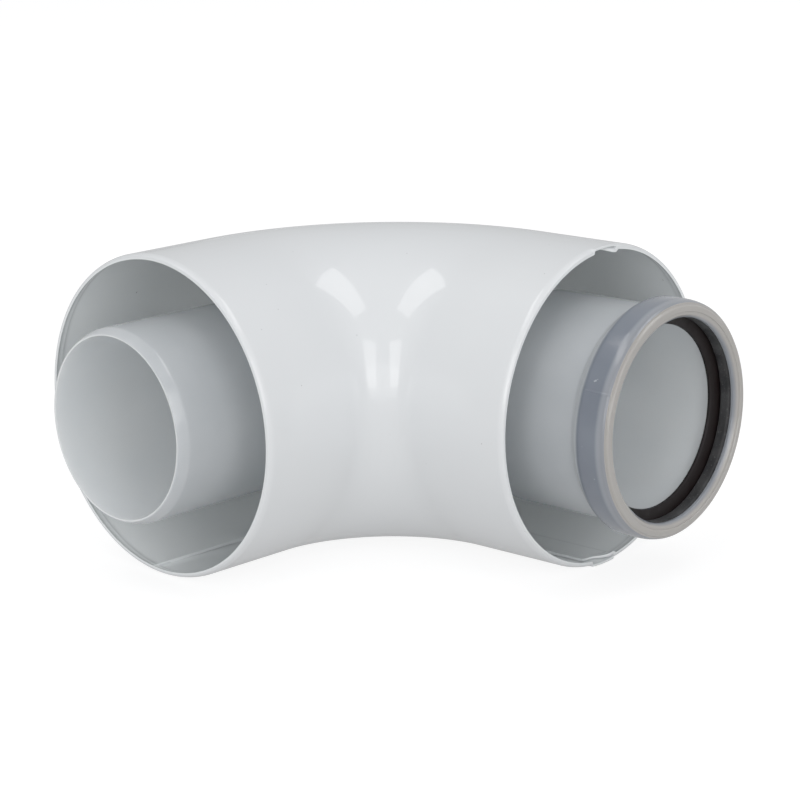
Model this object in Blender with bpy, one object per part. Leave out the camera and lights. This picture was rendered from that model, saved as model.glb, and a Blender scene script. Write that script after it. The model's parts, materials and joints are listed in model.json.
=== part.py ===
"""Concentric 60/100 flue elbow for a condensing boiler, 87 degrees.

A polypropylene flue elbow carries the exhaust. Two pressed metal half shells, lapped along the
top and the bottom, make the air casing around it, and snap-on spacers hold the flue centred.
Units are metres and +Z is up. The bend is horizontal: the spigot leg opens towards -Y and the
socket leg towards +X. The part rests on the underside of its casing, with the origin below the
middle of its box.
"""
import math

import bmesh
import bpy
from mathutils import Matrix, Vector

# Bend, shared by the flue and the casing
BEND_ANGLE = math.radians(87.0)
BEND_RADIUS = 0.063
LEG = 0.034
BEND_STEPS = 14

# Casing half shells
CASING_RADIUS = 0.050
CASING_WALL = 0.0012
RIM_CURL = 0.0007
RIM_CURL_LENGTH = 0.0020
SEAM_START = math.radians(84.0)
SEAM_END = math.radians(97.0)
JOGGLE = math.radians(0.8)
LAP_GAP = 0.00035
ARC_STEP = math.radians(6.0)

# Flue elbow
PIPE_RADIUS = 0.030
PIPE_BORE = 0.028
SPIGOT_REACH = 0.0165
SPIGOT_LIP = 0.0006
SPIGOT_CHAMFER = 0.0034
BARREL_RADIUS = 0.0332
SOCKET_BORE = 0.0308
SOCKET_REACH = 0.0269
SOCKET_DEPTH = 0.050
SOCKET_SHOULDER = 0.004
BEAD_RADIUS = 0.0364
BEAD_WALL = 0.0020
BEAD_LENGTH = 0.0105
BEAD_SHOULDER = 0.0036
BEAD_EDGE = 0.0007
MOUTH_RADIUS = 0.0311
FRONT_WALL = 0.0023
PIPE_SEGMENTS = 48

# Lip seal in the socket's groove
TOUCH_GAP = 0.0003
SEAL_BODY = 0.0020
SEAL_LIP_RADIUS = 0.0280
SEAL_LIP = 0.0011

# Spacers, snapped on to the flue inside the bend
SPACER_TURNS = (math.radians(26.0), math.radians(61.0))
SPACER_WIDTH = 0.008
SPACER_CLEARANCE = 0.0004
SPACER_BAND = 0.0018
SPACER_OPENING = math.radians(60.0)
SPACER_LEG_ANGLES = (math.radians(-120.0), 0.0, math.radians(120.0))
SPACER_LEG = 0.0022
SPACER_FOOT = 0.0090
SPACER_FOOT_HEIGHT = 0.0016
SPACER_FOOT_GAP = 0.0005
SPACER_ARC_STEP = math.radians(15.0)

ARC_LENGTH = BEND_RADIUS * BEND_ANGLE
SPIGOT_RIM = 0.0
SOCKET_RIM = 2 * LEG + ARC_LENGTH
BEND_STOPS = [LEG + ARC_LENGTH * step / BEND_STEPS for step in range(BEND_STEPS + 1)]
UP = Vector((0.0, 0.0, 1.0))


def frame(distance):
    """Axes of the pipe's cross-section, at a distance along the centreline from the spigot rim.

    Local X points out of the bend, local Y up and local Z along the flow. The bend's centre is
    at the origin.
    """
    turn = min(max((distance - LEG) / BEND_RADIUS, 0.0), BEND_ANGLE)
    outward = Vector((-math.cos(turn), math.sin(turn), 0.0))
    along = outward.cross(UP)
    straight = distance - LEG - turn * BEND_RADIUS
    axes = Matrix((outward, UP, along)).transposed().to_4x4()
    return Matrix.Translation(outward * BEND_RADIUS + along * straight) @ axes


def clear_scene():
    for item in list(bpy.data.objects):
        bpy.data.objects.remove(item, do_unlink=True)


def make_material(name, colour, roughness, metallic=0.0, transmission=0.0):
    material = bpy.data.materials.new(name)
    material.use_nodes = True
    shader = material.node_tree.nodes["Principled BSDF"]
    shader.inputs["Base Color"].default_value = (*colour, 1.0)
    shader.inputs["Roughness"].default_value = roughness
    shader.inputs["Metallic"].default_value = metallic
    shader.inputs["Transmission Weight"].default_value = transmission
    return material


def add_object(name, body, material, parent):
    """Turn a bmesh into a smooth-shaded object with its faces pointing out."""
    bmesh.ops.recalc_face_normals(body, faces=body.faces)
    mesh = bpy.data.meshes.new(name)
    body.to_mesh(mesh)
    body.free()
    mesh.shade_smooth()
    mesh.set_sharp_from_angle(angle=math.radians(30.0))
    mesh.materials.append(material)
    item = bpy.data.objects.new(name, mesh)
    item.parent = parent
    bpy.context.collection.objects.link(item)
    return item


def turned_along_bend(profile):
    """Body of revolution about the bent centreline, from a closed loop of (distance, radius)."""
    body = bmesh.new()
    rings = []
    for distance, radius in profile:
        circle = bmesh.ops.create_circle(
            body, segments=PIPE_SEGMENTS, radius=radius, matrix=frame(distance)
        )
        rings.append(circle["verts"])
    for near, far in zip(rings, rings[1:] + rings[:1]):
        for index in range(PIPE_SEGMENTS):
            body.faces.new((near[index - 1], near[index], far[index], far[index - 1]))
    return body


def swept_along_bend(outline, stops):
    """Closed cross-section of (radius, angle) points, carried through (distance, scale) stops."""
    placed = [frame(distance) @ Matrix.Scale(scale, 4) for distance, scale in stops]
    body = bmesh.new()
    vertices = []
    for radius, angle in outline:
        point = Vector((radius * math.cos(angle), radius * math.sin(angle), 0.0))
        vertices.append(body.verts.new(placed[0] @ point))
    cap = body.faces.new(vertices)
    inner_caps = []
    for here, there in zip(placed, placed[1:]):
        grown = bmesh.ops.extrude_face_region(body, geom=[cap])["geom"]
        cap = next(item for item in grown if isinstance(item, bmesh.types.BMFace))
        bmesh.ops.transform(body, matrix=there @ here.inverted(), verts=cap.verts)
        inner_caps.append(cap)
    bmesh.ops.delete(body, geom=inner_caps[:-1], context="FACES_ONLY")
    return body


def arc(start, end, step=ARC_STEP):
    """Angles from start to end, with every whole step between them."""
    first = math.floor(start / step + 1e-6) + 1
    last = math.ceil(end / step - 1e-6)
    return [start] + [count * step for count in range(first, last)] + [end]


def casing_stops():
    """Both legs and the bend, with the rims curled in by a slight scale."""
    curled = 1.0 - RIM_CURL / CASING_RADIUS
    half = 1.0 - 0.3 * RIM_CURL / CASING_RADIUS
    near = [(0.0, curled), (RIM_CURL_LENGTH / 2, half), (RIM_CURL_LENGTH, 1.0)]
    bend = [(stop, 1.0) for stop in BEND_STOPS]
    far = [(SOCKET_RIM - distance, scale) for distance, scale in reversed(near)]
    return near + bend + far


def shell_outline(outer):
    """Close an outer line of (radius, angle) points with the same line one wall further in."""
    inner = [(radius - CASING_WALL, angle) for radius, angle in reversed(outer)]
    return outer + inner


def heel_shell_outline():
    """Outer half of the casing, with a joggled flange along each long edge."""
    tucked = CASING_RADIUS - CASING_WALL - LAP_GAP
    flange = [(tucked, angle) for angle in arc(SEAM_START, SEAM_END)]
    back = [(CASING_RADIUS, angle) for angle in arc(JOGGLE - SEAM_START, SEAM_START - JOGGLE)]
    mirrored = [(radius, -angle) for radius, angle in reversed(flange)]
    return shell_outline(mirrored + back + flange)


def throat_shell_outline():
    """Inner half of the casing, whose edges lie over the other half's flanges."""
    edge = SEAM_START + JOGGLE / 2
    return shell_outline([(CASING_RADIUS, angle) for angle in arc(edge, math.tau - edge)])


def flue_profile():
    """Outside of the flue elbow from spigot to socket, then its bore back again."""
    spigot_end = SPIGOT_RIM - SPIGOT_REACH
    front = SOCKET_RIM + SOCKET_REACH
    bead_start = front - BEAD_LENGTH
    groove_front = front - FRONT_WALL
    socket_bottom = front - SOCKET_DEPTH
    outside = [(spigot_end, PIPE_BORE + SPIGOT_LIP), (spigot_end + SPIGOT_CHAMFER, PIPE_RADIUS)]
    outside += [(stop, PIPE_RADIUS) for stop in BEND_STOPS]
    outside += [
        (socket_bottom - SOCKET_SHOULDER, PIPE_RADIUS),
        (socket_bottom, BARREL_RADIUS),
        (bead_start - BEAD_SHOULDER, BARREL_RADIUS),
        (bead_start, BEAD_RADIUS),
        (front - BEAD_EDGE, BEAD_RADIUS),
        (front, BEAD_RADIUS - BEAD_EDGE),
    ]
    inside = [
        (front, MOUTH_RADIUS + BEAD_EDGE),
        (front - BEAD_EDGE, MOUTH_RADIUS),
        (groove_front, MOUTH_RADIUS),
        (groove_front, BEAD_RADIUS - BEAD_WALL),
        (bead_start, BEAD_RADIUS - BEAD_WALL),
        (bead_start, SOCKET_BORE),
        (socket_bottom, SOCKET_BORE),
        (socket_bottom - SOCKET_SHOULDER / 2, PIPE_BORE),
    ]
    inside += [(stop, PIPE_BORE) for stop in reversed(BEND_STOPS)]
    inside.append((spigot_end, PIPE_BORE))
    return outside + inside


def seal_profile():
    """Lip seal: a band in the socket's groove, and a lip that leans in towards the bore."""
    front = SOCKET_RIM + SOCKET_REACH - FRONT_WALL - TOUCH_GAP
    back = SOCKET_RIM + SOCKET_REACH - BEAD_LENGTH + TOUCH_GAP
    outer = BEAD_RADIUS - BEAD_WALL - TOUCH_GAP
    inner = outer - SEAL_BODY
    middle = (front + back) / 2
    lip_tip = back + 0.25 * (front - back)
    return [
        (back, outer),
        (back, inner + 0.25 * SEAL_BODY),
        (back + 0.25 * SEAL_BODY, inner),
        (middle - SEAL_LIP, inner),
        (lip_tip - SEAL_LIP / 2, SEAL_LIP_RADIUS + SEAL_LIP / 3),
        (lip_tip, SEAL_LIP_RADIUS),
        (lip_tip + SEAL_LIP / 2, SEAL_LIP_RADIUS + SEAL_LIP / 3),
        (middle + SEAL_LIP / 2, inner),
        (front - 0.25 * SEAL_BODY, inner),
        (front, inner + 0.25 * SEAL_BODY),
        (front, outer),
    ]


def spacer_outline():
    """Open clip band with three legs, each ending in a foot that bears on the casing."""
    inner = PIPE_RADIUS + SPACER_CLEARANCE
    outer = inner + SPACER_BAND
    foot_top = CASING_RADIUS - CASING_WALL - SPACER_FOOT_GAP
    foot_base = foot_top - SPACER_FOOT_HEIGHT
    reach = math.pi - SPACER_OPENING / 2
    leg_outline = [
        (outer, SPACER_LEG / 2 / outer),
        (foot_base, SPACER_LEG / 2 / foot_base),
        (foot_base, SPACER_FOOT / 2 / foot_base),
        (foot_top, SPACER_FOOT / 2 / foot_top),
    ]
    half_root = leg_outline[0][1]
    points = []
    start = -reach
    for centre in SPACER_LEG_ANGLES:
        points += [(outer, angle) for angle in arc(start, centre - half_root, SPACER_ARC_STEP)][:-1]
        points += [(radius, centre - offset) for radius, offset in leg_outline]
        points += [(foot_top, centre)]
        points += [(radius, centre + offset) for radius, offset in reversed(leg_outline)]
        start = centre + half_root
    points += [(outer, angle) for angle in arc(start, reach, SPACER_ARC_STEP)][1:]
    points += [(inner, angle) for angle in reversed(arc(-reach, reach, SPACER_ARC_STEP))]
    return points


def spacer_stops(turn):
    middle = LEG + BEND_RADIUS * turn
    return [(middle + SPACER_WIDTH * step / 2, 1.0) for step in (-1, 0, 1)]


def box_middle():
    """Middle of the part's box, measured from the bend's centre in the bend's plane."""
    socket_front = frame(SOCKET_RIM + SOCKET_REACH)
    curl_start = frame(SOCKET_RIM - RIM_CURL_LENGTH)
    left = -BEND_RADIUS - CASING_RADIUS
    right = (socket_front @ Vector((BEAD_EDGE - BEAD_RADIUS, 0.0, 0.0))).x
    near = -LEG - SPIGOT_REACH
    far = (curl_start @ Vector((CASING_RADIUS, 0.0, 0.0))).y
    return Vector(((left + right) / 2, (near + far) / 2, 0.0))


def build():
    clear_scene()
    white_paint = make_material("white_paint", (0.80, 0.82, 0.84), 0.12)
    polypropylene = make_material("natural_polypropylene", (0.72, 0.74, 0.74), 0.35, 0.0, 0.4)
    black_rubber = make_material("black_rubber", (0.02, 0.02, 0.02), 0.55)
    spacer_plastic = make_material("grey_polypropylene", (0.45, 0.46, 0.47), 0.45)

    bend_centre = bpy.data.objects.new("bend_centre", None)
    bend_centre.location = UP * CASING_RADIUS - box_middle()
    bpy.context.collection.objects.link(bend_centre)

    heel = swept_along_bend(heel_shell_outline(), casing_stops())
    add_object("casing_heel_shell", heel, white_paint, bend_centre)
    throat = swept_along_bend(throat_shell_outline(), casing_stops())
    add_object("casing_throat_shell", throat, white_paint, bend_centre)
    add_object("flue_elbow", turned_along_bend(flue_profile()), polypropylene, bend_centre)
    add_object("socket_lip_seal", turned_along_bend(seal_profile()), black_rubber, bend_centre)
    for name, turn in zip(("spacer_spigot_side", "spacer_socket_side"), SPACER_TURNS):
        clip = swept_along_bend(spacer_outline(), spacer_stops(turn))
        add_object(name, clip, spacer_plastic, bend_centre)


build()
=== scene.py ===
"""Looks of a concentric 60/100 flue elbow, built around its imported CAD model.

Fine meshes stand for the CAD solids: two painted half shells of the air casing, the translucent
flue elbow inside them, its lip seal and its two spacers. Units are metres, +Z is up, and every
place comes from the frame.
"""
import json
import math

import bpy
import numpy as np
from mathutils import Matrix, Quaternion, Vector


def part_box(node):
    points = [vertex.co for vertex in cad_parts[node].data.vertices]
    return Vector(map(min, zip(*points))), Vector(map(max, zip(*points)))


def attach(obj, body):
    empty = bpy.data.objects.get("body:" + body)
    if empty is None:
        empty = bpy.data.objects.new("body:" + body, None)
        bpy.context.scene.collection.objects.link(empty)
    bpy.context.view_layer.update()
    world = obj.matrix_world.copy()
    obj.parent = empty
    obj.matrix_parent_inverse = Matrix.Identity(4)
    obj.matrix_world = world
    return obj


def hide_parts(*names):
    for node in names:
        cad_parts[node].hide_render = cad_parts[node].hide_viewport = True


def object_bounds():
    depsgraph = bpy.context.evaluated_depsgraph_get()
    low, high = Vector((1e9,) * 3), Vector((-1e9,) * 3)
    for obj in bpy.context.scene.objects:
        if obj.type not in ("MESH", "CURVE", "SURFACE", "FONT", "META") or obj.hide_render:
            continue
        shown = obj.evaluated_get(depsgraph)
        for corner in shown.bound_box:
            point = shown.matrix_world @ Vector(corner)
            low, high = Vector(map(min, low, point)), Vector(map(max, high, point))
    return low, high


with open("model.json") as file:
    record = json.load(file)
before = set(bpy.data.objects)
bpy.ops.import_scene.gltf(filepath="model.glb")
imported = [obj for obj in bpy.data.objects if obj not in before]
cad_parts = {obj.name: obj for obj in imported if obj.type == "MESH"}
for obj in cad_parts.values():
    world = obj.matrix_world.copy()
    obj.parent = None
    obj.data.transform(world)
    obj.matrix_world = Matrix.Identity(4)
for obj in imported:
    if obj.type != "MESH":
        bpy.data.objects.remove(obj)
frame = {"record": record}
CAD_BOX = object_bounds()
MOUNTS = {mount["name"]: mount for mount in frame["record"]["mounts"]}

# Driving dimensions of the pipes, as the CAD model has them
BEND_RADIUS = 0.063
CASING_RADIUS = 0.050
PIPE_RADIUS = 0.030
PIPE_BORE = 0.028
MM = 0.001
SHARP_ANGLE = math.radians(35.0)


def mount_point(name):
    return Vector(MOUNTS[name]["pos_m"])


def mount_axis(name):
    return Vector(MOUNTS[name]["axis"])


# Both legs' axes and the bend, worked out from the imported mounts
BEND_ANGLE = math.acos(mount_axis("casing_rim_socket_side").y)
SPIGOT_AXIS_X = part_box("casing_heel_shell")[0].x + CASING_RADIUS
LEG_HEIGHT = mount_point("casing_rim_spigot_side").z


def leg_length():
    """Length of each leg, from the distance between the two rim mounts along the socket's axis."""
    along = mount_axis("casing_rim_socket_side")
    between = mount_point("casing_rim_socket_side") - mount_point("casing_rim_spigot_side")
    offset = SPIGOT_AXIS_X - mount_point("casing_rim_spigot_side").x
    bend = Vector((BEND_RADIUS + offset, 0.0, 0.0)).dot(along)
    return (between.dot(along) - bend) / (1.0 + math.cos(BEND_ANGLE))


LEG = leg_length()
ARC_LENGTH = BEND_RADIUS * BEND_ANGLE
SOCKET_RIM = 2.0 * LEG + ARC_LENGTH
RIM_Y = mount_point("casing_rim_spigot_side").y
BEND_CENTRE = Vector((SPIGOT_AXIS_X + BEND_RADIUS, RIM_Y + LEG, LEG_HEIGHT))
SPIGOT_END = mount_point("spigot_end_face").y - RIM_Y
SOCKET_FRONT = SOCKET_RIM + (
    mount_point("socket_front_face") - mount_point("casing_rim_socket_side")
).dot(mount_axis("socket_front_face"))

# Casing sheet, its hemmed rims and its lapped seams
SHEET = 0.75 * MM
HEM = 0.35 * MM
HEM_DEPTH = 2.3 * MM
HEM_FADE = 1.4 * MM
RIM_CURL = 0.7 * MM
RIM_CURL_LENGTH = 2.2 * MM
RIM_EDGE = 0.28 * MM
LAP_GAP = 0.15 * MM
THROAT_EDGE = math.radians(84.286)
HEEL_EDGE = math.radians(84.28)
HEEL_DROP_START = math.radians(84.08)
SPIGOT_DROP_START = math.radians(84.272)
JOGGLE_START = math.radians(82.4)
FLANGE_EDGE = math.radians(96.9)
HEM_GAP_START = math.radians(96.5)
HEM_GAP_END = math.radians(97.0)
HEM_TAPER = (math.radians(85.0), math.radians(90.5))
SOCKET_SET_BACK = 4.0 * MM
SOCKET_SET_BACK_REACH = 14.0 * MM
SOCKET_SET_BACK_ANGLES = (math.radians(85.8), math.radians(91.8))
SPIGOT_SET_BACK = 40.0 * MM
SPIGOT_SET_BACK_REACH = 80.0 * MM
SPIGOT_JOGGLE_START = math.radians(72.0)
JOGGLE_RUN_OUT = 14.0 * MM
FLANGE_FEATHER = 0.85
SEAM_EDGE = 0.12 * MM

# Casing's meshes: rows in millimetres from a rim, and columns in degrees
RIM_LIP_ROWS = [0.0, 0.05, 0.12, 0.2, 0.28, 0.5, 0.9, 1.3, 1.7, 2.1, 2.4, 2.7, 3.0]
RIM_BACK_ROWS = [3.6, 4.5, 6.0, 8.0, 10.5, 13.0]
LEG_ROWS_START = 16.0 * MM
LEG_ROW_STEP = 3.0 * MM
BEND_ROWS = 59
COLUMN_STEP = math.radians(2.0)
THROAT_EDGE_COLUMNS = (0.1, 0.25, 0.5)
FLANGE_COLUMNS = [83.1, 83.7, 84.7, 85.5, 86.3, 88.0, 89.5, 91.0, 93.0]

# Flue elbow
SPIGOT_CHAMFER = 3.4 * MM
SPIGOT_LIP = 0.6 * MM
BARREL_RADIUS = 33.2 * MM
SOCKET_BORE = 30.8 * MM
SOCKET_DEPTH = 50.0 * MM
SOCKET_SHOULDER = 4.0 * MM
BEAD_RADIUS = 36.4 * MM
BEAD_WALL = 2.0 * MM
BEAD_LENGTH = 10.5 * MM
BEAD_SHOULDER = 3.6 * MM
MOUTH_RADIUS = 31.1 * MM
FRONT_WALL = 2.3 * MM
FACE_STEP_RADIUS = 33.0 * MM
FACE_STEP = 0.35 * MM
FACE_STEP_BEVEL = 0.1 * MM
MOUTH_CHAMFER = 1.0 * MM
PARTING_ANGLE = math.radians(156.0)
PARTING_HEIGHT = 0.10 * MM
PARTING_WIDTH = math.radians(0.35)
PARTING_COLUMNS = (-1.0, -0.4, 0.4, 1.0)
PARTING_CREST = 0.3
PIPE_STEP = 2.5 * MM
PIPE_SEGMENTS = 144
FILLET_STEPS = 5
FILLET_LIMIT = 0.45

# Bead's nose: how far each corner lies behind the front and in from the bead, and its fillet
NOSE = (
    (3.4 * MM, 0.0, 1.2 * MM),
    (1.4 * MM, 0.45 * MM, 0.6 * MM),
    (0.85 * MM, 0.85 * MM, 0.12 * MM),
    (0.75 * MM, 1.25 * MM, 0.12 * MM),
    (0.0, 1.65 * MM, 0.35 * MM),
)

# Where the plastic's colours change; the darker colour of its outside is painted shade
# Share of that painted shade on the outside of the spigot and bend; the socket's outside takes it in
# full
PIPE_PAINTED_SHADE_SHARE = 0.85
SEAL_SHOWS = 7.6 * MM
SEAL_RISE = (-0.9 * MM, 0.6 * MM)
SEAL_FADE = (0.85, 1.15)
SKIN_MARGIN = 0.4 * MM
BEAD_MARGIN = 0.7 * MM
FACE_DEPTH = 0.9 * MM
MOUTH_MARGIN = 0.1 * MM

# Lip seal
TOUCH_GAP = 0.3 * MM
SEAL_BODY = 2.0 * MM
SEAL_LIP_RADIUS = 28.0 * MM
SEAL_LIP = 1.1 * MM
SEAL_LIP_END = 0.45

# Spacers
SPACER_TURNS = {"spigot_side": math.radians(26.0), "socket_side": math.radians(61.0)}
SPACER_WIDTH = 8.0 * MM
SPACER_CLEARANCE = 0.4 * MM
SPACER_BAND = 1.8 * MM
SPACER_OPENING = math.radians(60.0)
SPACER_LEG_ANGLES = (math.radians(-120.0), 0.0, math.radians(120.0))
SPACER_LEG = 2.2 * MM
SPACER_FOOT = 9.0 * MM
SPACER_FOOT_HEIGHT = 1.6 * MM
SPACER_FOOT_RADIUS = 48.3 * MM
SPACER_ROOT_FLARE = 1.15
SPACER_ROOT_STEP = 0.6 * MM
SPACER_ROOT = 1.6 * MM
SPACER_ANKLE = 0.8 * MM
SPACER_ROWS = 5
SPACER_BEVEL = 0.3 * MM
SPACER_BEVEL_ANGLE = math.radians(50.0)
CROWN_STEP = math.radians(2.0)

# View and studio
CAMERA_AZIMUTH = math.radians(44.39)
CAMERA_ELEVATION = math.radians(14.69)
CAMERA_ROLL = math.radians(-0.81)
CAMERA_DISTANCE = 0.76868
CAMERA_LENS = 114.64
SENSOR = 36.0
AIM_FROM_BEND_CENTRE = Vector((-0.01059, 0.01766, 0.00435))
STUDIO_TURN = math.radians(46.5)
FLOOR_RADIUS = 6.0
FLOOR_SEGMENTS = 96
FLOOR_DROP = 0.2 * MM
FLOOR_BOUNCE = 0.41
FLOOR_LIGHT = 0.22
FLOOR_SHADE = 0.35
FLOOR_GLOW = 0.80
BOX_RADIANCE = 1.85
FILL_RADIANCE = 0.90
WORLD_STRENGTH = 0.47
WORLD_COLOUR = (0.97, 0.985, 1.0, 1.0)
VIEW_GAMMA = 1.3


# ---------------------------------------------------------------- geometry


def smooth(value, start, end):
    """Smooth step from 0 at start to 1 at end, for numbers or arrays."""
    share = np.clip((value - start) / (end - start), 0.0, 1.0)
    return share * share * (3.0 - 2.0 * share)


def place(distance, radius, angle):
    """Points at a distance along the centreline, and at a radius and an angle around it."""
    turn = np.clip((distance - LEG) / BEND_RADIUS, 0.0, BEND_ANGLE)
    straight = distance - LEG - turn * BEND_RADIUS
    reach = BEND_RADIUS + radius * np.cos(angle)
    x = BEND_CENTRE.x - np.cos(turn) * reach + np.sin(turn) * straight
    y = BEND_CENTRE.y + np.sin(turn) * reach + np.cos(turn) * straight
    z = BEND_CENTRE.z + radius * np.sin(angle)
    return np.stack(np.broadcast_arrays(x, y, z), axis=-1)


def make_piece(name, points, faces, material, node):
    """A smooth-shaded object that stands for a CAD node."""
    mesh = bpy.data.meshes.new(name)
    mesh.from_pydata(points.reshape(-1, 3).tolist(), [], faces)
    mesh.validate()
    mesh.shade_smooth()
    mesh.set_sharp_from_angle(angle=SHARP_ANGLE)
    mesh.materials.append(material)
    piece = bpy.data.objects.new(name, mesh)
    bpy.context.collection.objects.link(piece)
    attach(piece, "root")
    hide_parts(node)
    return piece


def set_mark(piece, mark, shares):
    """Named share, from 0 to 1, that each of the mesh's points holds for its material."""
    layer = piece.data.attributes.new(mark, "FLOAT", "POINT")
    layer.data.foreach_set("value", np.ravel(shares).astype(np.float32))


def grid_faces(rings, count, ring_closes, loft_closes):
    """Quads over a grid of rings, each of which is a closed or an open line of count points."""
    faces = []
    for ring in range(rings if loft_closes else rings - 1):
        here = ring * count
        there = (ring + 1) % rings * count
        for index in range(count if ring_closes else count - 1):
            following = (index + 1) % count
            faces.append((here + index, there + index, there + following, here + following))
    return faces


def strip_caps(rings, count):
    """Quads that close the first and last ring of a sheet, whose second half runs back."""
    faces = []
    last = (rings - 1) * count
    for index in range(count // 2 - 1):
        pair = (index, index + 1, count - 2 - index, count - 1 - index)
        faces.append(pair)
        faces.append(tuple(last + corner for corner in reversed(pair)))
    return faces


def rounded(corners):
    """Closed line of (distance, radius) whose corners (distance, radius, fillet) are arcs."""
    line = []
    count = len(corners)
    for index, (distance, radius, fillet) in enumerate(corners):
        here = Vector((distance, radius))
        if fillet == 0.0:
            line.append(here)
            continue
        before = Vector(corners[index - 1][:2]) - here
        after = Vector(corners[(index + 1) % count][:2]) - here
        cut = min(fillet, FILLET_LIMIT * before.length, FILLET_LIMIT * after.length)
        start = here + before.normalized() * cut
        end = here + after.normalized() * cut
        for step in range(FILLET_STEPS + 1):
            share = step / FILLET_STEPS
            first = start.lerp(here, share)
            second = here.lerp(end, share)
            line.append(first.lerp(second, share))
    return line


def subdivided(line):
    """The same closed line with no gap longer than a pipe step."""
    points = []
    for here, there in zip(line, line[1:] + line[:1]):
        parts = max(1, math.ceil((there - here).length / PIPE_STEP))
        points += [here.lerp(there, part / parts) for part in range(parts)]
    return points


def revolved(name, corners, material, node, marks, parting_from=None):
    """Body turned about the bent centreline.

    marks gives named shares, from 0 to 1, over the profile, which the material can read. From the
    distance parting_from on, the outside has two parting lines.
    """
    line = subdivided(rounded(corners))
    distance = np.array([point.x for point in line])
    radius = np.array([point.y for point in line])
    angle = np.linspace(0.0, math.tau, PIPE_SEGMENTS, endpoint=False)
    ridge = np.zeros((len(line), 1))
    if parting_from is not None:
        offsets = PARTING_ANGLE + PARTING_WIDTH * np.array(PARTING_COLUMNS)
        lines = np.concatenate([offsets, offsets + math.pi])
        angle = np.unique(np.concatenate([angle, np.mod(lines, math.tau)]))
        away = np.abs(np.mod(angle - PARTING_ANGLE + math.pi / 2, math.pi) - math.pi / 2)
        fall = smooth(away, PARTING_CREST * PARTING_WIDTH, PARTING_WIDTH)
        height = PARTING_HEIGHT * (1.0 - fall)
        is_outside = (distance > parting_from) & (radius > BEAD_RADIUS - BEAD_WALL / 2)
        ridge = height[None, :] * is_outside[:, None]
    points = place(distance[:, None], radius[:, None] + ridge, angle[None, :])
    faces = grid_faces(len(line), len(angle), True, True)
    piece = make_piece(name, points, faces, material, node)
    for mark, share in marks(distance, radius).items():
        set_mark(piece, mark, np.repeat(share, len(angle)))
    return piece


# ---------------------------------------------------------------- casing


def casing_distances():
    """Rows along the casing: close together at the rims, and evenly spaced on the legs and bend."""
    near = [row * MM for row in RIM_LIP_ROWS + RIM_BACK_ROWS]
    legs = list(np.arange(LEG_ROWS_START, LEG, LEG_ROW_STEP))
    bend = list(np.linspace(LEG, LEG + ARC_LENGTH, BEND_ROWS))
    far = [SOCKET_RIM - row for row in reversed(near + legs)]
    return np.array(near + legs + bend + far)


def rim_terms(distance):
    """The lip's rounding, the curl and the hem of each row, by how far it is from its own rim."""
    from_rim = np.minimum(distance, SOCKET_RIM - distance)
    inside_edge = np.clip(RIM_EDGE - from_rim, 0.0, RIM_EDGE)
    lip = RIM_EDGE - np.sqrt(RIM_EDGE**2 - inside_edge**2)
    curl = RIM_CURL * np.clip(1.0 - from_rim / RIM_CURL_LENGTH, 0.0, 1.0) ** 2
    hem = HEM * (1.0 - smooth(from_rim, HEM_DEPTH, HEM_DEPTH + HEM_FADE))
    return lip, curl, hem


def angles_between(start, end, extras):
    """Angles from start to end, with a regular step and some extra ones."""
    steps = math.ceil((end - start) / COLUMN_STEP)
    regular = np.linspace(start, end, steps + 1)
    return np.unique(np.round(np.concatenate([regular, extras]), 7))


def casing_sheet(name, distance, outer, inner, angle, material, node):
    """Closed sheet between an outer and an inner surface, given over rows and angles.

    Its inner surface is marked, so that the paint can paint it lighter as painted light.
    """
    both = np.concatenate([outer, inner[:, ::-1]], axis=1)
    around = np.concatenate([angle, angle[::-1]])
    distance = np.concatenate([distance, distance[:, ::-1]], axis=1)
    points = place(distance, both, around[None, :])
    rings, count = both.shape
    faces = grid_faces(rings, count, True, False) + strip_caps(rings, count)
    piece = make_piece(name, points, faces, material, node)
    inside = np.concatenate([np.zeros(outer.shape), np.ones(inner.shape)], axis=1)
    set_mark(piece, "inside", inside)
    return piece


def throat_half(material):
    """Inner half of the casing: its hemmed rim stops short of the seams at the socket end."""
    start, end = THROAT_EDGE, math.tau - THROAT_EDGE
    near_edge = [start + math.radians(past) for past in THROAT_EDGE_COLUMNS]
    steps = [HEM_GAP_START, (HEM_GAP_START + HEM_GAP_END) / 2, HEM_GAP_END]
    extras = np.array(near_edge + steps)
    angle = angles_between(start, end, np.concatenate([extras, math.tau - extras]))
    rows = casing_distances()
    lip, curl, hem = (term[:, None] for term in rim_terms(rows))
    from_heel = np.minimum(angle, math.tau - angle)[None, :]
    at_socket = (rows > SOCKET_RIM / 2)[:, None]
    hemmed = np.where(at_socket, smooth(from_heel, HEM_GAP_START, HEM_GAP_END), 1.0)
    from_edge = (from_heel - THROAT_EDGE) * CASING_RADIUS
    rounding = SEAM_EDGE * (1.0 - smooth(from_edge, 0.0, 2.0 * SEAM_EDGE))
    outer = CASING_RADIUS - curl * hemmed - lip - rounding
    inner = CASING_RADIUS - SHEET - curl * hemmed - hem * hemmed + lip
    distance = np.repeat(rows[:, None], len(angle), axis=1)
    name = "casing_throat_half"
    return casing_sheet(name, distance, outer, inner, angle, material, "casing_throat_shell")


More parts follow.
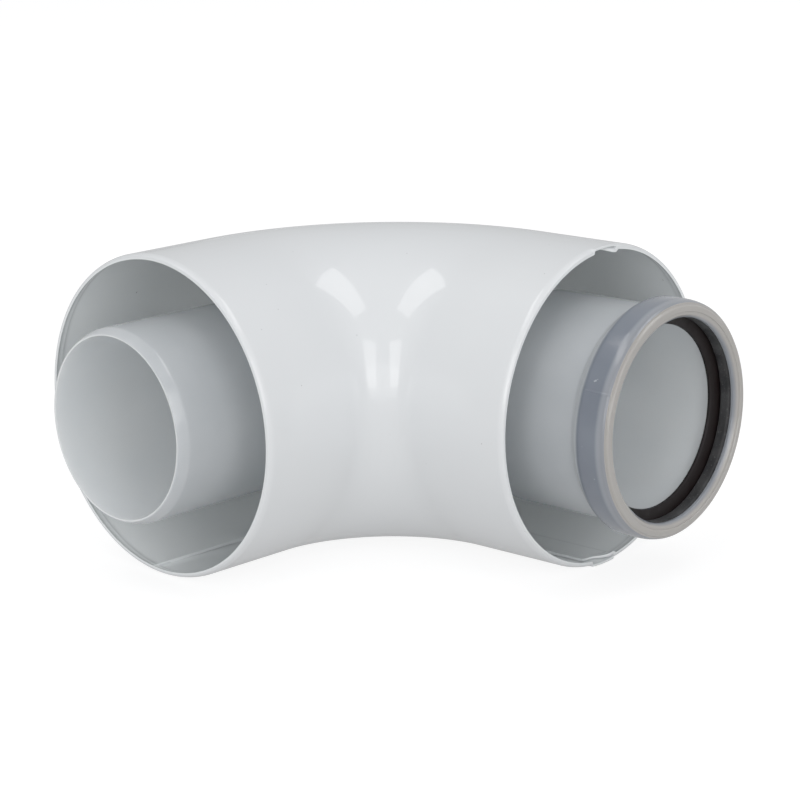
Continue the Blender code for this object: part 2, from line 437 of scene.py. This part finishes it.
def heel_half(material):
    """Outer half of the casing, joggled inwards along both long edges to lie under the other.

    Its two flanges end short of both rims, further in at the spigot end.
    """
    bends = [JOGGLE_START, HEEL_DROP_START, SPIGOT_DROP_START, HEEL_EDGE]
    extras = np.concatenate([bends, np.radians(FLANGE_COLUMNS)])
    angle = angles_between(-FLANGE_EDGE, FLANGE_EDGE, np.concatenate([extras, -extras]))
    rows = casing_distances()
    lip, curl, hem = (term[:, None] for term in rim_terms(rows))
    from_heel = np.abs(angle)[None, :]
    at_socket = (rows > SOCKET_RIM / 2)[:, None]
    on_flange = smooth(from_heel, HEEL_DROP_START, HEEL_EDGE)
    on_spigot_flange = smooth(from_heel, SPIGOT_DROP_START, HEEL_EDGE)
    from_rim = np.minimum(rows, SOCKET_RIM - rows)[:, None]
    reach = np.where(at_socket, SOCKET_SET_BACK_REACH, SPIGOT_SET_BACK_REACH)
    socket_set_back = SOCKET_SET_BACK * smooth(from_heel, *SOCKET_SET_BACK_ANGLES)
    set_back = np.where(at_socket, socket_set_back, SPIGOT_SET_BACK * on_spigot_flange)
    from_rim = from_rim + set_back * np.clip(1.0 - from_rim / reach, 0.0, 1.0)
    run_out = smooth(from_rim, SPIGOT_SET_BACK - JOGGLE_RUN_OUT, SPIGOT_SET_BACK)
    joggled = np.where(at_socket, 1.0, run_out)
    drop = (SHEET + LAP_GAP) * joggled
    outer_drop = drop * on_flange
    spigot_joggle = smooth(from_heel, SPIGOT_JOGGLE_START, HEEL_EDGE)
    socket_joggle = smooth(from_heel, JOGGLE_START, HEEL_EDGE)
    inner_drop = drop * np.where(at_socket, socket_joggle, spigot_joggle)
    edge_feather = smooth(from_heel, HEEL_EDGE, FLANGE_EDGE)
    end_feather = 1.0 - smooth(from_rim, SPIGOT_SET_BACK, SPIGOT_SET_BACK + JOGGLE_RUN_OUT)
    feather = FLANGE_FEATHER * np.maximum(edge_feather, end_feather * on_spigot_flange)
    sheet = SHEET * (1.0 - np.where(at_socket, 0.0, feather))
    hemmed = np.where(at_socket, 1.0 - smooth(from_heel, *HEM_TAPER), 1.0)
    outer = CASING_RADIUS - outer_drop - curl * hemmed - lip
    inner = CASING_RADIUS - sheet - inner_drop - (curl + hem) * hemmed + lip
    distance = np.where(at_socket, SOCKET_RIM - from_rim, from_rim)
    name = "casing_heel_half"
    return casing_sheet(name, distance, outer, inner, angle, material, "casing_heel_shell")


# ---------------------------------------------------------------- flue, seal and spacers


def flue(material):
    """Spigot, bend and socket with its bead, in one moulding."""
    front = SOCKET_FRONT
    bead_start = front - BEAD_LENGTH
    bottom = front - SOCKET_DEPTH
    groove = BEAD_RADIUS - BEAD_WALL
    corners = [
        (SPIGOT_END, PIPE_BORE + SPIGOT_LIP, 0.25 * MM),
        (SPIGOT_END + SPIGOT_CHAMFER, PIPE_RADIUS, 0.6 * MM),
        (bottom - SOCKET_SHOULDER, PIPE_RADIUS, 2.0 * MM),
        (bottom, BARREL_RADIUS, 2.0 * MM),
        (bead_start - BEAD_SHOULDER, BARREL_RADIUS, 0.9 * MM),
        (bead_start, BEAD_RADIUS, 1.6 * MM),
        *((front - behind, BEAD_RADIUS - inward, fillet) for behind, inward, fillet in NOSE),
        (front, FACE_STEP_RADIUS, 0.12 * MM),
        (front - FACE_STEP, FACE_STEP_RADIUS - FACE_STEP_BEVEL, 0.12 * MM),
        (front - FACE_STEP, MOUTH_RADIUS + MOUTH_CHAMFER, 0.2 * MM),
        (front - FACE_STEP - MOUTH_CHAMFER, MOUTH_RADIUS, 0.3 * MM),
        (front - FRONT_WALL, MOUTH_RADIUS, 0.15 * MM),
        (front - FRONT_WALL, groove, 0.2 * MM),
        (bead_start, groove, 0.2 * MM),
        (bead_start, SOCKET_BORE, 0.4 * MM),
        (bottom, SOCKET_BORE, 0.4 * MM),
        (bottom - SOCKET_SHOULDER / 2, PIPE_BORE, 0.8 * MM),
        (SPIGOT_END, PIPE_BORE, 0.12 * MM),
    ]

    def marks(distance, radius):
        in_socket = distance > bottom
        inner_skin = np.where(in_socket, BARREL_RADIUS - SKIN_MARGIN, PIPE_BORE + SKIN_MARGIN)
        # Share of painted shade: the outer surfaces are painted darker than the bore
        outside = (radius > inner_skin) * np.where(in_socket, 1.0, PIPE_PAINTED_SHADE_SHARE)
        on_bead = radius > BEAD_RADIUS - BEAD_MARGIN
        rises = smooth(distance, *(bead_start + offset for offset in SEAL_RISE))
        fades = smooth(distance, *(bead_start + share * SEAL_SHOWS for share in SEAL_FADE))
        over_seal = np.where(on_bead, rises * (1.0 - fades), 0.0)
        nose = np.where(on_bead | (distance > front - FRONT_WALL), fades, 0.0)
        on_front = (distance > front - FACE_DEPTH) & (radius > MOUTH_RADIUS - MOUTH_MARGIN)
        return {"outside": outside, "over_seal": over_seal, "nose": nose, "front": on_front}

    return revolved("flue_pipe_elbow", corners, material, "flue_elbow", marks, bead_start)


def lip_seal(material):
    """Rubber ring in the bead's groove: a body, a recess and one inner lip."""
    front = SOCKET_FRONT - FRONT_WALL - TOUCH_GAP
    back = SOCKET_FRONT - BEAD_LENGTH + TOUCH_GAP
    outer = BEAD_RADIUS - BEAD_WALL - TOUCH_GAP
    inner = outer - SEAL_BODY
    length = front - back
    corners = [
        (back, outer, 0.3 * MM),
        (back, inner, 0.4 * MM),
        (back + 0.12 * length, SEAL_LIP_RADIUS + 0.9 * MM, 0.3 * MM),
        (back + 0.20 * length, SEAL_LIP_RADIUS, 0.25 * MM),
        (back + 0.32 * length, SEAL_LIP_RADIUS + 0.25 * MM, 0.25 * MM),
        (back + 0.38 * length, SEAL_LIP_RADIUS + SEAL_LIP + 0.6 * MM, 0.5 * MM),
        (back + SEAL_LIP_END * length, inner + 0.5 * MM, 0.4 * MM),
        (back + 0.55 * length, inner - 1.2 * MM, 0.5 * MM),
        (front - 0.7 * MM, inner - 1.0 * MM, 0.3 * MM),
        (front, inner - 0.3 * MM, 0.3 * MM),
        (front, outer, 0.3 * MM),
    ]

    def marks(distance, radius):
        # The lip's share marks where the rubber is painted near black as painted shade.
        return {"lip": distance < back + SEAL_LIP_END * length}

    return revolved("socket_seal_ring", corners, material, "socket_lip_seal", marks)


def arc(start, end, step=math.radians(4.0)):
    """Evenly spaced angles from start to end, no more than a step apart."""
    count = max(1, math.ceil((end - start) / step))
    return [start + (end - start) * index / count for index in range(count + 1)]


def spacer_outline():
    """Open clip band with three legs, each ending in a foot that bears on the casing."""
    inner = PIPE_RADIUS + SPACER_CLEARANCE
    outer = inner + SPACER_BAND
    foot_base = SPACER_FOOT_RADIUS - SPACER_FOOT_HEIGHT
    reach = math.pi - SPACER_OPENING / 2
    leg = [
        (outer, SPACER_LEG / outer),
        (outer + SPACER_ROOT_STEP, SPACER_LEG / 2 / outer * SPACER_ROOT_FLARE),
        (outer + SPACER_ROOT, SPACER_LEG / 2 / (outer + SPACER_ROOT)),
        (foot_base - SPACER_ANKLE, SPACER_LEG / 2 / foot_base),
        (foot_base, SPACER_LEG / foot_base),
    ]
    foot = [
        (foot_base, SPACER_FOOT / 2 / foot_base),
        (SPACER_FOOT_RADIUS, SPACER_FOOT / 2 / SPACER_FOOT_RADIUS),
    ]
    half_root = leg[0][1]
    points = []
    start = -reach
    for centre in SPACER_LEG_ANGLES:
        points += [(outer, angle) for angle in arc(start, centre - half_root)][:-1]
        points += [(radius, centre - offset) for radius, offset in leg + foot]
        crown = arc(centre - foot[1][1], centre + foot[1][1], CROWN_STEP)
        points += [(SPACER_FOOT_RADIUS, angle) for angle in crown[1:-1]]
        points += [(radius, centre + offset) for radius, offset in reversed(leg + foot)]
        start = centre + half_root
    points += [(outer, angle) for angle in arc(start, reach)][1:]
    points += [(inner, angle) for angle in reversed(arc(-reach, reach))]
    return points


def spacer(side, turn, material):
    """Clip that holds the flue centred in the casing, at a turn into the bend."""
    outline = spacer_outline()
    radius = np.array([point[0] for point in outline])
    angle = np.array([point[1] for point in outline])
    middle = LEG + BEND_RADIUS * turn
    distance = middle + SPACER_WIDTH * np.linspace(-0.5, 0.5, SPACER_ROWS)
    points = place(distance[:, None], radius[None, :], angle[None, :])
    count = len(outline)
    last = (SPACER_ROWS - 1) * count
    faces = grid_faces(SPACER_ROWS, count, True, False)
    faces.append(tuple(range(count)))
    faces.append(tuple(reversed(range(last, last + count))))
    name = f"spacer_clip_{side}"
    piece = make_piece(name, points, faces, material, f"spacer_{side}")
    bevel = piece.modifiers.new("edges", "BEVEL")
    bevel.width = SPACER_BEVEL
    bevel.segments = 2
    bevel.limit_method = "ANGLE"
    bevel.angle_limit = SPACER_BEVEL_ANGLE
    return piece


# ---------------------------------------------------------------- materials


class Finish:
    """A node material under construction: one Principled shader, fed by noises of the surface."""

    def __init__(self, name):
        self.material = bpy.data.materials.new(name)
        self.material.use_nodes = True
        self.tree = self.material.node_tree
        self.shader = self.tree.nodes["Principled BSDF"]
        self.place = self.tree.nodes.new("ShaderNodeTexCoord").outputs["Object"]

    def set(self, **values):
        for name, value in values.items():
            self.shader.inputs[name.replace("_", " ")].default_value = value

    def noise(self, scale, detail=2.0):
        """Noise over the surface; scale is features per metre."""
        texture = self.tree.nodes.new("ShaderNodeTexNoise")
        texture.inputs["Scale"].default_value = scale
        texture.inputs["Detail"].default_value = detail
        self.tree.links.new(self.place, texture.inputs["Vector"])
        return texture.outputs["Fac"]

    def mark(self, name):
        """Share that the mesh holds for each of its points."""
        node = self.tree.nodes.new("ShaderNodeAttribute")
        node.attribute_name = name
        return node.outputs["Fac"]

    def ramp(self, source, low, high, colour_low, colour_high):
        """Colour that runs from one value to another as the source goes from low to high."""
        ramp = self.tree.nodes.new("ShaderNodeValToRGB")
        ramp.color_ramp.elements[0].position = low
        ramp.color_ramp.elements[0].color = (*colour_low, 1.0)
        ramp.color_ramp.elements[1].position = high
        ramp.color_ramp.elements[1].color = (*colour_high, 1.0)
        self.tree.links.new(source, ramp.inputs["Fac"])
        return ramp.outputs["Color"]

    def mix(self, share, first, second):
        """Mix of two colours by a share."""
        node = self.tree.nodes.new("ShaderNodeMix")
        node.data_type = "RGBA"
        self.tree.links.new(share, node.inputs["Factor"])
        for socket, colour in zip((node.inputs[6], node.inputs[7]), (first, second)):
            if isinstance(colour, tuple):
                socket.default_value = (*colour, 1.0)
            else:
                self.tree.links.new(colour, socket)
        return node.outputs[2]

    def feed(self, source, name):
        self.tree.links.new(source, self.shader.inputs[name])

    def bump(self, *layers):
        """Bumps from (source, height in metres, strength), one on top of the other."""
        normal = None
        for source, height, strength in layers:
            node = self.tree.nodes.new("ShaderNodeBump")
            node.inputs["Strength"].default_value = strength
            node.inputs["Distance"].default_value = height
            self.tree.links.new(source, node.inputs["Height"])
            if normal:
                self.tree.links.new(normal, node.inputs["Normal"])
            normal = node.outputs["Normal"]
        self.tree.links.new(normal, self.shader.inputs["Normal"])


def white_paint():
    """Gloss white powder coat: faint cloudiness, orange peel and a few specks, and its inner surfaces
    painted lighter as painted light.
    """
    finish = Finish("white_paint")
    clouds = finish.noise(14.0, 3.0)
    outside = finish.ramp(clouds, 0.3, 0.7, (0.745, 0.765, 0.785), (0.775, 0.795, 0.810))
    # Painted light: the inner surfaces get a lighter copy of the paint than the outside, standing in
    # for light in the casing's interior.
    inside = finish.ramp(clouds, 0.3, 0.7, (0.925, 0.962, 0.968), (0.940, 0.973, 0.976))
    colour = finish.mix(finish.mark("inside"), outside, inside)
    specks = finish.ramp(finish.noise(1000.0, 0.0), 0.90, 0.92, (0.0, 0.0, 0.0), (1.0, 1.0, 1.0))
    finish.feed(finish.mix(specks, colour, (0.40, 0.41, 0.42)), "Base Color")
    finish.feed(finish.ramp(finish.noise(70.0), 0.3, 0.7, (0.30,) * 3, (0.40,) * 3), "Roughness")
    finish.bump((finish.noise(330.0, 1.0), 0.3 * MM, 0.05), (finish.noise(60.0, 1.0), 1.0 * MM, 0.03))
    finish.set(Coat_Weight=1.0, Coat_Roughness=0.05, IOR=1.5)
    return finish.material


def natural_polypropylene():
    """Milky, translucent polypropylene: cloudy and satin, darker where the seal lies behind it, and
    its outer surfaces painted darker than the bore as painted shade.

    Its roughness stays below 0.27, because a noise that crosses that value renders as flakes.
    """
    finish = Finish("natural_polypropylene")
    clouds = finish.noise(35.0, 4.0)
    bore = finish.ramp(clouds, 0.3, 0.7, (0.728, 0.757, 0.775), (0.775, 0.797, 0.805))
    # Painted shade: the outer surfaces, which lie in the casing's shade, get a darker copy of the
    # bore's colour.
    outside = finish.ramp(clouds, 0.3, 0.7, (0.425, 0.45, 0.473), (0.48, 0.503, 0.525))
    seal = finish.ramp(clouds, 0.3, 0.7, (0.125, 0.145, 0.185), (0.16, 0.185, 0.228))
    colour = finish.mix(finish.mark("outside"), bore, outside)
    scuffs = finish.ramp(finish.noise(420.0, 2.0), 0.735, 0.755, (0.0,) * 3, (0.5,) * 3)
    seal = finish.mix(scuffs, seal, (0.55, 0.58, 0.62))
    colour = finish.mix(finish.mark("nose"), colour, (0.225, 0.24, 0.27))
    colour = finish.mix(finish.mark("over_seal"), colour, seal)
    colour = finish.mix(finish.mark("front"), colour, (0.37, 0.352, 0.33))
    finish.feed(colour, "Base Color")
    satin = finish.ramp(finish.noise(180.0, 3.0), 0.3, 0.7, (0.215,) * 3, (0.262,) * 3)
    finish.feed(satin, "Roughness")
    finish.bump((finish.noise(700.0, 2.0), 0.1 * MM, 0.10), (finish.noise(90.0, 2.0), 0.6 * MM, 0.05))
    finish.set(Subsurface_Weight=0.8, Subsurface_Radius=(1.0, 1.0, 1.0), Subsurface_Scale=2.2 * MM)
    finish.set(IOR=1.49, Coat_Weight=0.5, Coat_Roughness=0.13)
    return finish.material


def black_rubber():
    """Matt EPDM with a dusty bloom and fine speckles, and with its lip painted near black as painted
    shade.
    """
    finish = Finish("black_rubber")
    clouds = finish.noise(160.0, 3.0)
    bloom = finish.ramp(clouds, 0.35, 0.70, (0.013, 0.013, 0.014), (0.034, 0.034, 0.035))
    specks = finish.ramp(finish.noise(2200.0, 1.0), 0.66, 0.74, (0.0,) * 3, (1.0,) * 3)
    colour = finish.mix(specks, bloom, (0.08, 0.08, 0.08))
    # Painted shade: the lip and its recess get a near-black colour for the shade they lie in.
    finish.feed(finish.mix(finish.mark("lip"), colour, (0.005, 0.003, 0.003)), "Base Color")
    finish.feed(finish.ramp(finish.noise(300.0), 0.3, 0.7, (0.45,) * 3, (0.65,) * 3), "Roughness")
    finish.bump((finish.noise(1800.0, 2.0), 0.1 * MM, 0.25),)
    finish.set(Specular_IOR_Level=0.2)
    return finish.material


def grey_polypropylene():
    """Moulded grey clip: fine texture and slight colour variation."""
    finish = Finish("grey_polypropylene")
    clouds = finish.ramp(finish.noise(60.0, 3.0), 0.3, 0.7, (0.40, 0.41, 0.42), (0.50, 0.51, 0.52))
    finish.feed(clouds, "Base Color")
    finish.feed(finish.ramp(finish.noise(250.0), 0.3, 0.7, (0.40,) * 3, (0.55,) * 3), "Roughness")
    finish.bump((finish.noise(900.0, 2.0), 0.1 * MM, 0.2),)
    return finish.material


# ---------------------------------------------------------------- studio


def studio_direction(azimuth, elevation):
    """Direction from the bend's centre; azimuth 0 is towards the viewer and 90 to the right."""
    turn = math.radians(azimuth) + STUDIO_TURN
    rise = math.radians(elevation)
    return Vector((math.sin(turn) * math.cos(rise), -math.cos(turn) * math.cos(rise), math.sin(rise)))


def soft_box(name, azimuth, elevation, width, height, distance, radiance):
    """Rectangular area light of an even radiance that faces the bend's centre."""
    light = bpy.data.lights.new(name, "AREA")
    light.shape = "RECTANGLE"
    light.size = width
    light.size_y = height
    light.energy = radiance * math.pi * width * height
    item = bpy.data.objects.new(name, light)
    direction = studio_direction(azimuth, elevation)
    item.location = BEND_CENTRE + direction * distance
    item.rotation_euler = direction.to_track_quat("Z", "Y").to_euler()
    item.visible_camera = False
    bpy.context.collection.objects.link(item)
    return item


def ceiling_box(name, across, width, length, height, radiance):
    """Rectangular area light that faces straight down, to one side of the object."""
    item = soft_box(name, 90.0, 0.0, width, length, 1.0, radiance)
    side = studio_direction(90.0, 0.0)
    item.location = BEND_CENTRE + side * across + Vector((0.0, 0.0, height))
    item.rotation_euler = (0.0, 0.0, STUDIO_TURN)
    return item


def lights():
    """Two soft boxes in front, two overhead and a wide, low fill."""
    soft_box("front_left", -28.0, 25.0, 0.70, 1.20, 2.0, BOX_RADIANCE)
    soft_box("front_right", 26.0, 25.0, 0.80, 1.20, 2.0, BOX_RADIANCE)
    ceiling_box("over_left", -0.88, 0.64, 1.60, 2.0, BOX_RADIANCE)
    ceiling_box("over_right", 0.88, 0.64, 1.60, 2.0, BOX_RADIANCE)
    soft_box("fill", 0.0, 13.0, 4.6, 1.4, 3.2, FILL_RADIANCE)


def seen_by_camera(tree):
    """Share that is 1 for what the camera sees directly, and 0 for light that reaches the object."""
    return tree.nodes.new("ShaderNodeLightPath").outputs["Is Camera Ray"]


def surroundings():
    """Even pale light from all sides; past the floor the backdrop looks white."""
    world = bpy.data.worlds.new("studio")
    bpy.context.scene.world = world
    world.use_nodes = True
    tree = world.node_tree
    light = tree.nodes["Background"]
    light.inputs["Color"].default_value = WORLD_COLOUR
    light.inputs["Strength"].default_value = WORLD_STRENGTH
    backdrop = tree.nodes.new("ShaderNodeBackground")
    mix = tree.nodes.new("ShaderNodeMixShader")
    tree.links.new(seen_by_camera(tree), mix.inputs["Fac"])
    tree.links.new(light.outputs["Background"], mix.inputs[1])
    tree.links.new(backdrop.outputs["Background"], mix.inputs[2])
    tree.links.new(mix.outputs["Shader"], tree.nodes["World Output"].inputs["Surface"])


def floor():
    """Plain floor: it looks near white, and lights the object from below like a dim light table."""
    mesh = bpy.data.meshes.new("floor")
    angle = np.linspace(0.0, math.tau, FLOOR_SEGMENTS, endpoint=False)
    points = [(FLOOR_RADIUS * math.cos(a), FLOOR_RADIUS * math.sin(a), 0.0) for a in angle]
    mesh.from_pydata(points, [], [tuple(range(len(points)))])
    finish = Finish("floor")
    finish.set(Base_Color=(*(FLOOR_BOUNCE,) * 3, 1.0), Roughness=0.9, Specular_IOR_Level=0.0)
    finish.set(Emission_Color=(1.0, 1.0, 1.0, 1.0), Emission_Strength=FLOOR_LIGHT)
    tree = finish.tree
    diffuse = tree.nodes.new("ShaderNodeBsdfDiffuse")
    diffuse.inputs["Color"].default_value = (*(FLOOR_SHADE,) * 3, 1.0)
    glow = tree.nodes.new("ShaderNodeEmission")
    glow.inputs["Strength"].default_value = FLOOR_GLOW
    seen = tree.nodes.new("ShaderNodeAddShader")
    tree.links.new(diffuse.outputs["BSDF"], seen.inputs[0])
    tree.links.new(glow.outputs["Emission"], seen.inputs[1])
    mix = tree.nodes.new("ShaderNodeMixShader")
    tree.links.new(seen_by_camera(tree), mix.inputs["Fac"])
    tree.links.new(finish.shader.outputs["BSDF"], mix.inputs[1])
    tree.links.new(seen.outputs["Shader"], mix.inputs[2])
    tree.links.new(mix.outputs["Shader"], tree.nodes["Material Output"].inputs["Surface"])
    mesh.materials.append(finish.material)
    item = bpy.data.objects.new("floor", mesh)
    item.location.z = CAD_BOX[0][2] - FLOOR_DROP
    bpy.context.collection.objects.link(item)


def camera():
    """Camera at the photograph's viewing angle."""
    data = bpy.data.cameras.new("camera")
    data.lens = CAMERA_LENS
    data.sensor_width = SENSOR
    item = bpy.data.objects.new("camera", data)
    back = Vector((
        math.sin(CAMERA_AZIMUTH) * math.cos(CAMERA_ELEVATION),
        -math.cos(CAMERA_AZIMUTH) * math.cos(CAMERA_ELEVATION),
        math.sin(CAMERA_ELEVATION),
    ))
    item.location = BEND_CENTRE + AIM_FROM_BEND_CENTRE + back * CAMERA_DISTANCE
    item.rotation_mode = "QUATERNION"
    item.rotation_quaternion = Quaternion(back, CAMERA_ROLL) @ back.to_track_quat("Z", "Y")
    bpy.context.collection.objects.link(item)
    bpy.context.scene.camera = item


paint = white_paint()
heel_half(paint)
throat_half(paint)
flue(natural_polypropylene())
lip_seal(black_rubber())
clip_plastic = grey_polypropylene()
for side, turn in SPACER_TURNS.items():
    spacer(side, turn, clip_plastic)
lights()
surroundings()
floor()
camera()
bpy.context.scene.view_settings.view_transform = "Standard"
bpy.context.scene.view_settings.gamma = VIEW_GAMMA
